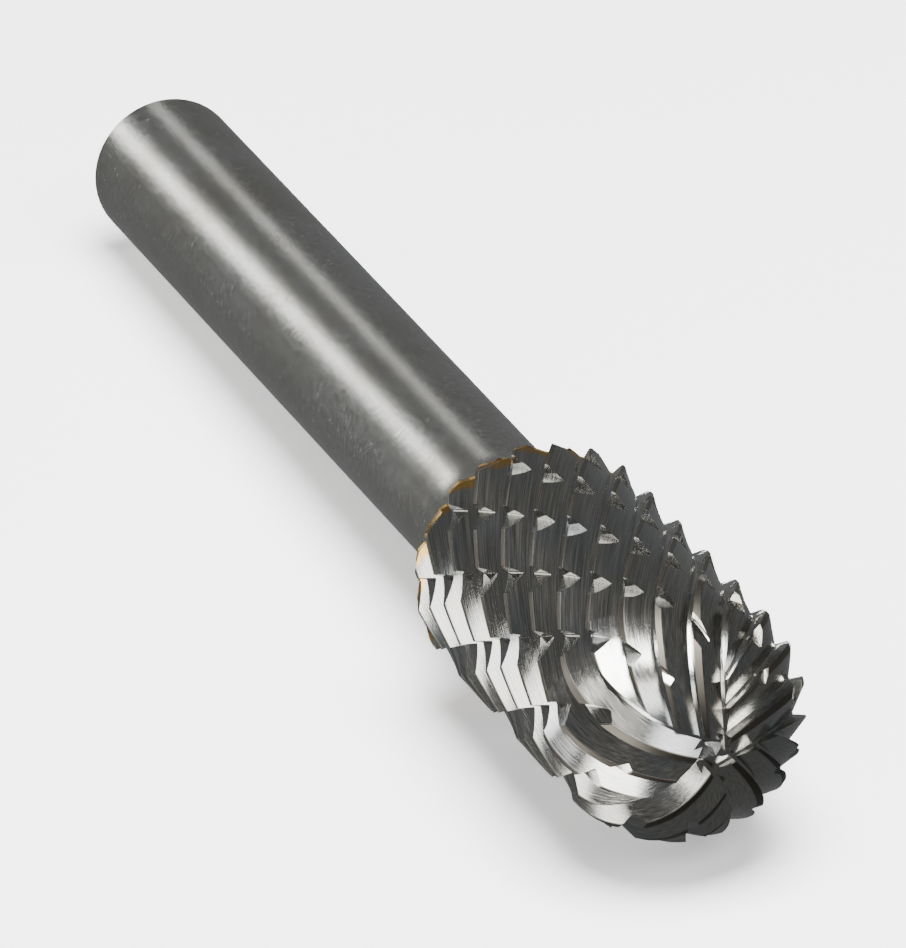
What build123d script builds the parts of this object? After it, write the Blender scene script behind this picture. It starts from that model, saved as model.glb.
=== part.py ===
"""Double-cut carbide burr: a ball-nosed cylindrical head brazed to a steel shank."""

import os
from math import atan2, cos, degrees, pi, radians, sin, tan

from build123d import *

os.makedirs("parts", exist_ok=True)

# Driving dimensions, in millimetres and degrees. The burr is built upright, with its
# axis on Z and the end face of the shank on the XY plane, and is laid down at the end.
shank_diameter = 6.0
shank_length = 44.85
shank_end_chamfer = 0.35
neck_length = 4.4             # stretch over which the shank flares out to the head
neck_clearance = 0.15         # the flare stays this far inside the floors of the flutes

braze_thickness = 0.15

head_diameter = 10.0          # over the crests of the teeth
head_length = 20.0            # from the back rim to the tip of the ball nose
rim_bevel = 0.2               # bevel round the back rim, measured across and along
rim_bevel_length = 0.4

# Flutes: right-hand, each with one steep cutting face. They run in groups at the nose.
flute_groups = 5
flutes_per_group = 4
flute_helix = 26.5            # between the flute and the axis
flute_depth = 0.55
flute_floor = 0.14            # flat bottom of the flute
rake_angle = 6.0              # lean of the cutting face
tooth_land = 0.12             # flat crest left between two flutes
leader_depth = 0.3            # depth left where a group's first flute meets the tip
leader_overrun = 0.15         # how far it runs past the tip
follower_depth = 0.32         # depth left where the others break into the next group
run_outs = [0.86, 0.73, 0.6]  # where they do, as fractions of the next leader's arc

# Chip breakers: left-hand grooves across the teeth, half as many as the flutes.
breaker_helix = 25.5
breaker_width = 0.98
breaker_depth = 0.38
breaker_floor = 0.06
breaker_lean = 8.0            # lean of its steep wall
breaker_reach = 1.8           # where a breaker fades out, measured from the tip

cutter_height = 0.35          # how far a cutter stands above the crests
cutter_run_in = 0.5           # how far a nose cutter starts back along the cylinder
resting_roll = 227.02         # how far the burr is rolled about its axis as it lies

# Places that follow from the sizes.
shank_radius = shank_diameter / 2
head_radius = head_diameter / 2
neck_end_radius = head_radius - flute_depth - neck_clearance
rim_z = shank_length + braze_thickness
nose_z = rim_z + head_length - head_radius
ball_centre = Vector(0, 0, nose_z)

flute_count = flute_groups * flutes_per_group
flute_angle = 360 / flute_count
flute_pitch = pi * head_diameter / flute_count * cos(radians(flute_helix))
flute_width = flute_pitch - tooth_land


# The shank: turned and ground steel, with a chamfered end and a neck that flares
# out to back up the head.
with BuildPart() as shank:
    with BuildSketch(Plane.XZ):
        with BuildLine():
            Polyline(
                (0, shank_length),
                (0, 0),
                (shank_radius - shank_end_chamfer, 0),
                (shank_radius, shank_end_chamfer),
                (shank_radius, shank_length - neck_length),
            )
            TangentArc(
                (shank_radius, shank_length - neck_length),
                (neck_end_radius, shank_length),
                tangent=(0, 1),
            )
            Line((neck_end_radius, shank_length), (0, shank_length))
        make_face()
    revolve(axis=Axis.Z)


def outward(azimuth):
    return Vector(cos(radians(azimuth)), sin(radians(azimuth)), 0)


def heading(azimuth, helix):
    """Direction of a helix on the cylinder, towards the tip."""
    across = Vector(-sin(radians(azimuth)), cos(radians(azimuth)), 0)
    return across * sin(radians(helix)) + Vector(0, 0, cos(radians(helix)))


def on_ball(azimuth, reach, lift):
    """Point at an arc length from the tip, lifted clear of the ball nose."""
    polar = reach / head_radius
    return ball_centre + (outward(azimuth) * sin(polar) + Vector(0, 0, cos(polar))) * (head_radius + lift)


def groove_corners(width, depth, floor, lean, height):
    """Corners of a groove's section: the tops of its steep wall and of its long slope
    at a height above the crests, with the two ends of its floor between them."""
    wall = tan(radians(lean))
    slope = (width - floor) / depth - wall
    foot = width / 2 - depth * wall
    return (
        (width / 2 + height * wall, height),
        (foot, -depth),
        (foot - floor, -depth),
        (-width / 2 - height * slope, height),
    )


def fluted_bar(count, helix, section, height):
    """A bar as long as the braze and the head's cylinder, with grooves all round that
    twist along it. The crests between them stand at a height above the head's own."""
    def on_section(x, y):
        """Point of a groove's section, wrapped round the end of the bar at the nose."""
        azimuth = -degrees(x / cos(radians(helix)) / head_radius)
        return Vector(head_radius + y, 0).rotate(Axis.Z, azimuth)

    corners = [on_section(*corner) for corner in groove_corners(*section, height)]
    land_end = corners[0].rotate(Axis.Z, 360 / count)
    land_angle = corners[3].get_angle(land_end)
    land_middle = corners[3].rotate(Axis.Z, land_angle / 2)
    length = nose_z - shank_length
    turn_per_mm = degrees(tan(radians(helix)) / head_radius)
    twist = Helix(360 / abs(turn_per_mm), length, head_radius, lefthand=helix < 0)
    with BuildPart() as bar:
        with BuildSketch(Plane.XY.offset(nose_z)):
            with BuildLine():
                for groove in range(count):
                    azimuth = groove * 360 / count
                    Polyline([corner.rotate(Axis.Z, azimuth) for corner in corners])
                    ThreePointArc(
                        [end.rotate(Axis.Z, azimuth) for end in (corners[3], land_middle, land_end)]
                    )
            make_face()
        sweep(
            path=Line((0, 0, nose_z), (0, 0, shank_length)),
            binormal=Pos(0, 0, shank_length) * Rot(0, 0, -turn_per_mm * length) * twist,
        )
    return bar.part


def nose_path(azimuth, helix, end):
    """Arc over the ball nose that carries on from a helix and ends at a point."""
    start = ball_centre + outward(azimuth) * head_radius
    return TangentArc(start, end, tangent=heading(azimuth, helix))


def nose_stroke(azimuth, helix, section, end):
    """A groove curved over the ball nose, as a solid to cut away."""
    path = nose_path(azimuth, helix, end)
    along = path % 0
    spin = (path @ 0 - path.arc_center).cross(along)
    with BuildPart() as stroke:
        with BuildSketch(Plane(path @ 0, x_dir=outward(azimuth).cross(along), z_dir=along)) as across:
            Polygon(*groove_corners(*section, cutter_height), align=None)
        revolve(axis=Axis(path.arc_center, spin), revolution_arc=degrees(path.length / path.radius))
        extrude(across.sketch, amount=-cutter_run_in)
    return stroke.part


# The tooth pattern of the cylinder, as two bars that twist opposite ways. What both
# share is the head. The crests of the second stand clear of the first's.
flute_section = (flute_width, flute_depth, flute_floor, rake_angle)
breaker_section = (breaker_width, breaker_depth, breaker_floor, breaker_lean)
flute_bar = fluted_bar(flute_count, flute_helix, flute_section, 0)
breaker_bar = fluted_bar(flute_count // 2, -breaker_helix, breaker_section, cutter_height)

# The cuts for one group of flutes over the nose. The leader runs to the tip, and the
# others run beside it and break out into the leader of the next group.
group_angle = flute_angle * flutes_per_group
next_leader = nose_path(
    group_angle, flute_helix, on_ball(group_angle + flute_helix + 180, leader_overrun, 0)
)
leader_end = on_ball(flute_helix + 180, leader_overrun, flute_depth - leader_depth)
nose_cuts = [nose_stroke(0, flute_helix, flute_section, leader_end)]
for follower, run_out in enumerate(run_outs, start=1):
    breakout = next_leader @ run_out
    lift = (breakout - ball_centre).normalized() * (flute_depth - follower_depth)
    nose_cuts.append(nose_stroke(follower * flute_angle, flute_helix, flute_section, breakout + lift))

# A chip breaker climbs out of the nose before it reaches the tip.
fade_out = on_ball(-breaker_helix, breaker_reach, breaker_depth)
breaker_cut = nose_stroke(0, -breaker_helix, breaker_section, fade_out)

with BuildPart() as ball_nose:
    with BuildSketch(Plane.XZ):
        with BuildLine():
            Polyline((0, nose_z + head_radius), (0, nose_z), (head_radius, nose_z))
            RadiusArc((head_radius, nose_z), (0, nose_z + head_radius), -head_radius)
        make_face()
    revolve(axis=Axis.Z)
    with PolarLocations(0, flute_groups):
        add(nose_cuts, mode=Mode.SUBTRACT)
    with PolarLocations(0, flute_count // 2):
        add(breaker_cut, mode=Mode.SUBTRACT)

# The head: pressed and sintered carbide with the teeth ground into it, and a bevel
# round its back rim.
with BuildPart() as carbide_head:
    with BuildSketch(Plane.XZ):
        with BuildLine():
            Polyline(
                (0, rim_z),
                (head_radius - rim_bevel, rim_z),
                (head_radius + rim_bevel, rim_z + 2 * rim_bevel_length),
                (head_radius + rim_bevel, nose_z),
                (0, nose_z),
                close=True,
            )
        make_face()
    revolve(axis=Axis.Z)
    add(flute_bar, mode=Mode.INTERSECT)
    add(breaker_bar, mode=Mode.INTERSECT)
    add(ball_nose.part)

# The braze: a thin layer between the two, ground through with the head's rim.
with BuildPart() as braze_joint:
    with BuildSketch(Plane.XY.offset(shank_length)):
        Circle(head_radius - rim_bevel)
    extrude(amount=braze_thickness)
    add(flute_bar, mode=Mode.INTERSECT)
    add(breaker_bar, mode=Mode.INTERSECT)

shank.part.label = "shank"
braze_joint.part.label = "braze_joint"
carbide_head.part.label = "carbide_head"

# Lay the burr down on the back rim of its head and the edge of the shank's end, with
# the tip towards +X, and centre it over the origin.
pieces = [shank.part, braze_joint.part, carbide_head.part]
rest_tilt = degrees(
    atan2(head_radius - shank_radius, rim_z + rim_bevel_length - shank_end_chamfer)
)
for piece in pieces:
    piece.move(Rot(0, 90 - rest_tilt, 0) * Rot(0, 0, resting_roll))
box = Compound(pieces).bounding_box()
for piece in pieces:
    piece.move(Pos(-box.center().X, -box.center().Y, -box.min.Z))

export_step(shank.part, "parts/shank.step")
export_step(braze_joint.part, "parts/braze_joint.step")
export_step(carbide_head.part, "parts/carbide_head.step")
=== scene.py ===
from math import atan2, cos, pi, radians, sin

import bmesh
import bpy
from mathutils import Matrix, Vector

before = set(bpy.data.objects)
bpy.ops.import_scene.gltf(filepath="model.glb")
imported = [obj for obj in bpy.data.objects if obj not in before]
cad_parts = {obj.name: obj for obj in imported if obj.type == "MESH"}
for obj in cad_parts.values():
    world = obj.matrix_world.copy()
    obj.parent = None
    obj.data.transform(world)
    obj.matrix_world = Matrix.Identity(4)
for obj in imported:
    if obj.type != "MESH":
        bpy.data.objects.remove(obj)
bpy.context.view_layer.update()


# The shank: a rod of hardened steel, turned with a neck behind the head and then
# centreless-ground. The wheel leaves fine marks round it, so a highlight spreads
# along it, and handling has dulled it in patches.
shank_radius = 0.003
head_radius = 0.005
between_feet = 0.04505  # from the edge of the shank's end to the head's back rim
lean = atan2(head_radius - shank_radius, between_feet)
axis = Vector((cos(lean), 0, sin(lean)))
lift = Vector((-sin(lean), 0, cos(lean)))
shank_end = Vector((-0.0323976, 0, 0.00298152))

dark_steel = (0.32, 0.325, 0.305, 1)
bright_steel = (0.66, 0.65, 0.61, 1)
handled_steel = (0.43, 0.41, 0.37, 1)
marks_per_metre = 5000.0
marks_per_radian = 9.0


def place_node(tree, kind, x, y, **constants):
    """A shader node at a place in the tree, with its constants set."""
    placed = tree.nodes.new(kind)
    placed.location = (x, y)
    for name, value in constants.items():
        placed.inputs[name].default_value = value
    return placed


def feed(tree, socket, value):
    """Gives a socket another socket to follow, or a constant."""
    if isinstance(value, bpy.types.NodeSocket):
        tree.links.new(value, socket)
    else:
        socket.default_value = value


def reckon(tree, operation, x, y, *values):
    """A Math node. Each of its values is a number or a socket."""
    placed = place_node(tree, "ShaderNodeMath", x, y)
    placed.operation = operation
    for socket, value in zip(placed.inputs, values):
        feed(tree, socket, value)
    return placed.outputs[0]


def reckon_vector(tree, operation, x, y, *values):
    """A Vector Math node. Each of its values is a vector or a socket."""
    placed = place_node(tree, "ShaderNodeVectorMath", x, y)
    placed.operation = operation
    for socket, value in zip(placed.inputs, values):
        feed(tree, socket, value)
    return placed.outputs["Value" if operation == "DOT_PRODUCT" else "Vector"]


def step_up(tree, x, y, value, low, high):
    """A smooth step from 0 at one value to 1 at another."""
    placed = place_node(tree, "ShaderNodeMapRange", x, y)
    placed.interpolation_type = "SMOOTHSTEP"
    for name, given in (("Value", value), ("From Min", low), ("From Max", high)):
        feed(tree, placed.inputs[name], given)
    return placed.outputs["Result"]


def mix_colours(tree, x, y, share, first, second):
    """A mix of two colours, by a share of the second from 0 to 1."""
    placed = place_node(tree, "ShaderNodeMix", x, y)
    placed.data_type = "RGBA"
    in_use = {socket.name: socket for socket in placed.inputs if socket.enabled}
    for name, value in (("Factor", share), ("A", first), ("B", second)):
        feed(tree, in_use[name], value)
    return next(socket for socket in placed.outputs if socket.enabled)


def blotches(tree, x, y, scale, detail):
    """Soft noise over the surface, from 0 to 1."""
    coordinates = place_node(tree, "ShaderNodeTexCoord", x - 200, y)
    placed = place_node(tree, "ShaderNodeTexNoise", x, y, Scale=scale, Detail=detail)
    tree.links.new(coordinates.outputs["Object"], placed.inputs["Vector"])
    return placed.outputs["Fac"]


# Places on the burr: the distance along the axis from the shank's end, the distance
# out from the axis, the angle round it, and the direction straight out.
burr_places = bpy.data.node_groups.new("burr_places", "ShaderNodeTree")
for name in ("along", "out", "angle"):
    burr_places.interface.new_socket(
        name, in_out="OUTPUT", socket_type="NodeSocketFloat"
    )
burr_places.interface.new_socket(
    "outward", in_out="OUTPUT", socket_type="NodeSocketVector"
)
places_out = place_node(burr_places, "NodeGroupOutput", 900, 0).inputs
point = place_node(burr_places, "ShaderNodeTexCoord", -600, 0).outputs["Object"]
point = reckon_vector(burr_places, "SUBTRACT", -400, 0, point, shank_end)
along = reckon_vector(burr_places, "DOT_PRODUCT", -200, 150, point, axis)
above = reckon_vector(burr_places, "DOT_PRODUCT", -200, 0, point, lift)
beside = reckon_vector(burr_places, "DOT_PRODUCT", -200, -150, point, (0, -1, 0))
above_squared = reckon(burr_places, "MULTIPLY", 0, 50, above, above)
beside_squared = reckon(burr_places, "MULTIPLY", 0, -100, beside, beside)
squares = reckon(burr_places, "ADD", 200, 0, above_squared, beside_squared)
on_axis = reckon_vector(burr_places, "MULTIPLY", 0, -300, along, axis)
off_axis = reckon_vector(burr_places, "SUBTRACT", 200, -350, point, on_axis)
outward = reckon_vector(burr_places, "NORMALIZE", 400, -350, off_axis)
feed(burr_places, places_out["along"], along)
feed(burr_places, places_out["out"], reckon(burr_places, "SQRT", 400, 0, squares))
angle = reckon(burr_places, "ARCTAN2", 200, -200, beside, above)
feed(burr_places, places_out["angle"], angle)
feed(burr_places, places_out["outward"], outward)

# Grinding marks: fine lines across one place, slowly changing with another, as a
# mask from 0 to 1.
wheel_marks = bpy.data.node_groups.new("wheel_marks", "ShaderNodeTree")
for name in ("across", "beside", "fineness"):
    wheel_marks.interface.new_socket(
        name, in_out="INPUT", socket_type="NodeSocketFloat"
    )
wheel_marks.interface.new_socket(
    "mask", in_out="OUTPUT", socket_type="NodeSocketFloat"
)
marks_in = place_node(wheel_marks, "NodeGroupInput", -600, 0).outputs
marks_out = place_node(wheel_marks, "NodeGroupOutput", 400, 0).inputs
across = reckon(
    wheel_marks, "MULTIPLY", -400, 100, marks_in["across"], marks_in["fineness"]
)
line_place = place_node(wheel_marks, "ShaderNodeCombineXYZ", -200, 0)
feed(wheel_marks, line_place.inputs["X"], across)
feed(wheel_marks, line_place.inputs["Y"], marks_in["beside"])
lines = place_node(
    wheel_marks, "ShaderNodeTexNoise", 0, 0, Scale=1.0, Detail=4.0, Roughness=0.65
)
feed(wheel_marks, lines.inputs["Vector"], line_place.outputs["Vector"])
feed(wheel_marks, marks_out["mask"], lines.outputs["Fac"])


def bare_metal(name):
    """A metal with its tree of nodes and its shader's sockets."""
    metal = bpy.data.materials.new(name)
    metal.use_nodes = True
    tree = metal.node_tree
    tree.nodes.clear()
    surface = place_node(tree, "ShaderNodeBsdfPrincipled", 900, 0, Metallic=1.0)
    output = place_node(tree, "ShaderNodeOutputMaterial", 1200, 0)
    tree.links.new(surface.outputs["BSDF"], output.inputs["Surface"])
    return metal, tree, surface.inputs


def find_places(tree):
    """The places on the burr, in a metal."""
    places = place_node(tree, "ShaderNodeGroup", -1200, 0)
    places.node_tree = burr_places
    return places.outputs


def ground_in(tree, x, y, across, beside, fineness):
    """The grinding marks' mask, in a metal."""
    marks = place_node(tree, "ShaderNodeGroup", x, y)
    marks.node_tree = wheel_marks
    for name, given in (("across", across), ("beside", beside), ("fineness", fineness)):
        feed(tree, marks.inputs[name], given)
    return marks.outputs["mask"]


def dress(node_name, metal):
    """Puts a metal on one of the burr's solids."""
    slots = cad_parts[node_name].data.materials
    slots.clear()
    slots.append(metal)


ground_steel, tree, surface = bare_metal("ground_steel")
places = find_places(tree)
around = reckon(tree, "MULTIPLY", -800, 200, places["angle"], marks_per_radian)
marks = ground_in(tree, -600, 300, places["along"], around, marks_per_metre)
steel = mix_colours(tree, -200, 300, marks, dark_steel, bright_steel)
handled = blotches(tree, -600, 0, scale=260.0, detail=5.0)
handled = step_up(tree, -200, 0, handled, low=0.35, high=0.75)
steel = mix_colours(tree, 100, 300, handled, steel, handled_steel)
feed(tree, surface["Base Color"], steel)
least_rough, rough_spread = 0.15, 0.18
rough = reckon(tree, "MULTIPLY_ADD", 100, -100, marks, rough_spread, least_rough)
feed(tree, surface["Roughness"], rough)

# What is turned is truly round, so its normal leans along the axis as its face does,
# and otherwise points straight out.
face = place_node(tree, "ShaderNodeNewGeometry", -1000, -400).outputs["Normal"]
endwise = reckon_vector(tree, "DOT_PRODUCT", -800, -400, face, axis)
endwise_squared = reckon(tree, "MULTIPLY", -600, -500, endwise, endwise)
sidewise = reckon(tree, "SUBTRACT", -400, -500, 1.0, endwise_squared)
sidewise = reckon(tree, "MAXIMUM", -200, -500, sidewise, 0.0)
sidewise = reckon(tree, "SQRT", 0, -500, sidewise)
side_part = reckon_vector(tree, "MULTIPLY", 200, -500, places["outward"], sidewise)
end_part = reckon_vector(tree, "MULTIPLY", 200, -300, endwise, axis)
round_normal = reckon_vector(tree, "ADD", 400, -400, side_part, end_part)
grain = place_node(tree, "ShaderNodeBump", 600, -600, Strength=0.6, Distance=0.00002)
feed(tree, grain.inputs["Height"], marks)
feed(tree, grain.inputs["Normal"], round_normal)
feed(tree, surface["Normal"], grain.outputs["Normal"])
surface["Anisotropic"].default_value = 0.55
tangent = reckon_vector(tree, "CROSS_PRODUCT", 600, -400, round_normal, axis)
feed(tree, surface["Tangent"], tangent)
dress("shank", ground_steel)


# The braze: a thin layer of brass-coloured filler that joins the carbide to the
# steel. It shows as a line round the head's back rim, and the torch has stained it
# brown in places.
brown_stain = (0.07, 0.042, 0.02, 1)
clean_brass = (0.6, 0.38, 0.12, 1)

braze, tree, surface = bare_metal("braze")
clean = blotches(tree, -600, 100, scale=1300.0, detail=5.0)
clean = step_up(tree, -400, 100, clean, low=0.4, high=0.62)
brass = mix_colours(tree, -200, 100, clean, brown_stain, clean_brass)
feed(tree, surface["Base Color"], brass)
surface["Roughness"].default_value = 0.38
dress("braze_joint", braze)


# The head: sintered tungsten carbide, a dark warm grey, cut with diamond wheels.
# Their streaks run along the flutes and twist with them. The torch's heat has blued
# it in patches, the crests are worn dull, and some braze has run over the back rim.
head_start = 0.045
nose_start = 0.06
flute_slope = 0.4986  # of a flute's helix: how far it turns round for each step along
flute_twist = flute_slope / head_radius

dark_carbide = (0.16, 0.165, 0.165, 1)
bright_carbide = (0.45, 0.43, 0.38, 1)
blued_carbide = (0.255, 0.29, 0.325, 1)
worn_crest = (0.065, 0.06, 0.05, 1)
spilt_brass = (0.5, 0.32, 0.1, 1)
streaks_per_radian = 110.0
changes_per_metre = 260.0
changes_per_metre_deep = 2600.0

ground_carbide, tree, surface = bare_metal("ground_carbide")
places = find_places(tree)
twist = reckon(tree, "MULTIPLY", -1000, -150, places["along"], flute_twist)
unwound = reckon(tree, "SUBTRACT", -800, 0, places["angle"], twist)
deep = reckon(tree, "MULTIPLY", -800, -300, places["out"], changes_per_metre_deep)
beside = reckon(
    tree, "MULTIPLY_ADD", -800, -150, places["along"], changes_per_metre, deep
)
streaks = ground_in(tree, -500, 100, unwound, beside, streaks_per_radian)
streaks = step_up(tree, -350, 200, streaks, low=0.15, high=0.85)
carbide = mix_colours(tree, -200, 300, streaks, dark_carbide, bright_carbide)

most_blued = 0.3
blued = blotches(tree, -700, 400, scale=420.0, detail=1.0)
blued = step_up(tree, -400, 400, blued, low=0.45, high=0.65)
blued = reckon(tree, "MULTIPLY", -200, 450, blued, most_blued)
carbide = mix_colours(tree, 0, 300, blued, carbide, blued_carbide)

# The crests are what lies at the full radius, from the axis or from the nose's middle.
crest_start = head_radius - 0.00004
crest_full = head_radius - 0.00001
onto_nose = reckon(tree, "SUBTRACT", -800, -500, places["along"], nose_start)
onto_nose = reckon(tree, "MAXIMUM", -600, -500, onto_nose, 0.0)
out_squared = reckon(tree, "MULTIPLY", -600, -400, places["out"], places["out"])
nose_squared = reckon(tree, "MULTIPLY", -600, -600, onto_nose, onto_nose)
squares = reckon(tree, "ADD", -400, -500, out_squared, nose_squared)
from_middle = reckon(tree, "SQRT", -200, -500, squares)
crest = step_up(tree, 0, -500, from_middle, low=crest_start, high=crest_full)
carbide = mix_colours(tree, 100, 300, crest, carbide, worn_crest)

spill_reach = 0.0012
spill_full = head_start - 0.0004
spill_end = head_start - 0.0001
spill = blotches(tree, -500, 600, scale=1500.0, detail=4.0)
spill = reckon(tree, "MULTIPLY_ADD", -200, 600, spill, -spill_reach, places["along"])
spill = step_up(tree, 100, 600, spill, low=spill_end, high=spill_full)
carbide = mix_colours(tree, 400, 300, spill, carbide, spilt_brass)
feed(tree, surface["Base Color"], carbide)

least_rough, rough_spread, crest_dullness = 0.1, 0.14, 0.25
rough = reckon(tree, "MULTIPLY_ADD", 200, -100, streaks, rough_spread, least_rough)
dulled = reckon(tree, "MULTIPLY", 200, -300, crest, crest_dullness)
feed(tree, surface["Roughness"], reckon(tree, "ADD", 400, -100, rough, dulled))
grain = place_node(tree, "ShaderNodeBump", 600, -300, Strength=0.08, Distance=0.00002)
feed(tree, grain.inputs["Height"], streaks)
feed(tree, surface["Normal"], grain.outputs["Normal"])
dress("carbide_head", ground_carbide)


# The floor: matt white paper, wide enough to fill every view. The metal doesn't
# mirror it, so the soft lamps alone shape the highlights.
floor_half_width = 3.0
floor_mesh = bpy.data.meshes.new("floor")
sheet = bmesh.new()
bmesh.ops.create_grid(sheet, x_segments=1, y_segments=1, size=floor_half_width)
sheet.to_mesh(floor_mesh)
sheet.free()
floor = bpy.data.objects.new("floor", floor_mesh)
bpy.context.scene.collection.objects.link(floor)
paper = bpy.data.materials.new("paper")
paper.use_nodes = True
surface = paper.node_tree.nodes["Principled BSDF"].inputs
surface["Base Color"].default_value = (0.94, 0.94, 0.94, 1)
surface["Roughness"].default_value = 0.9
surface["Specular IOR Level"].default_value = 0.0
surface["Emission Color"].default_value = (1, 1, 1, 1)
surface["Emission Strength"].default_value = 0.38
floor_mesh.materials.append(paper)
floor.visible_glossy = False
floor.visible_shadow = False


# The light: an even, pale sky and soft cards round the burr, each a rectangular
# lamp. The cards are placed so that each of its faces has one to mirror.
sky = bpy.data.worlds.new("sky")
sky.use_nodes = True
background = sky.node_tree.nodes["Background"].inputs
background["Color"].default_value = (0.95, 0.98, 1.0, 1)
background["Strength"].default_value = 0.17
bpy.context.scene.world = sky


def soft_card(name, heading, rise, distance, width, height, radiance):
    """A lamp that faces the burr's middle, from a heading that turns from -X
    towards -Y and a rise above the floor, both in degrees."""
    heading, rise = radians(heading), radians(rise)
    aim = Vector((cos(rise) * cos(heading), cos(rise) * sin(heading), -sin(rise)))
    lamp = bpy.data.lights.new(name, "AREA")
    lamp.shape = "RECTANGLE"
    lamp.size = width
    lamp.size_y = height
    lamp.energy = radiance * pi * width * height
    card = bpy.data.objects.new(name, lamp)
    card.location = -distance * aim
    card.rotation_mode = "QUATERNION"
    card.rotation_quaternion = aim.to_track_quat("-Z", "Y")
    bpy.context.scene.collection.objects.link(card)


# Name, heading, rise, distance, width, height, radiance.
soft_card("overhead", 200.0, 80.0, 0.24, 0.16, 0.16, 34.0)
soft_card("left_card", 19.0, 16.0, 0.4, 0.05, 0.08, 7.5)
soft_card("flank_card", 54.0, 14.0, 0.4, 0.14, 0.22, 9.5)
soft_card("right_card", -9.0, 23.5, 0.4, 0.04, 0.05, 2.2)
soft_card("side_card", 78.0, -14.0, 0.4, 0.14, 0.36, 8.0)
soft_card("front_card", 198.0, 44.0, 0.9, 0.7, 0.3, 7.0)
soft_card("tip_card", 120.0, 2.0, 0.4, 0.28, 0.2, 14.0)


# The camera: a long lens in front of the tip, looking down along the burr.
lens = bpy.data.cameras.new("camera")
lens.sensor_width = 36.0
lens.lens = 651.65
lens.clip_start = 0.05
lens.clip_end = 20.0
camera = bpy.data.objects.new("camera", lens)
camera_place = Vector((0.566417, -0.184251, 0.281968))
rightward = Vector((0.328630, 0.943577, -0.040802))
upward = Vector((-0.388399, 0.174399, 0.904838))
backward = Vector((0.860900, -0.281510, 0.423797))
turn = Matrix((rightward, upward, backward)).transposed()
camera.matrix_world = Matrix.Translation(camera_place) @ turn.to_4x4()
bpy.context.scene.collection.objects.link(camera)
bpy.context.scene.camera = camera
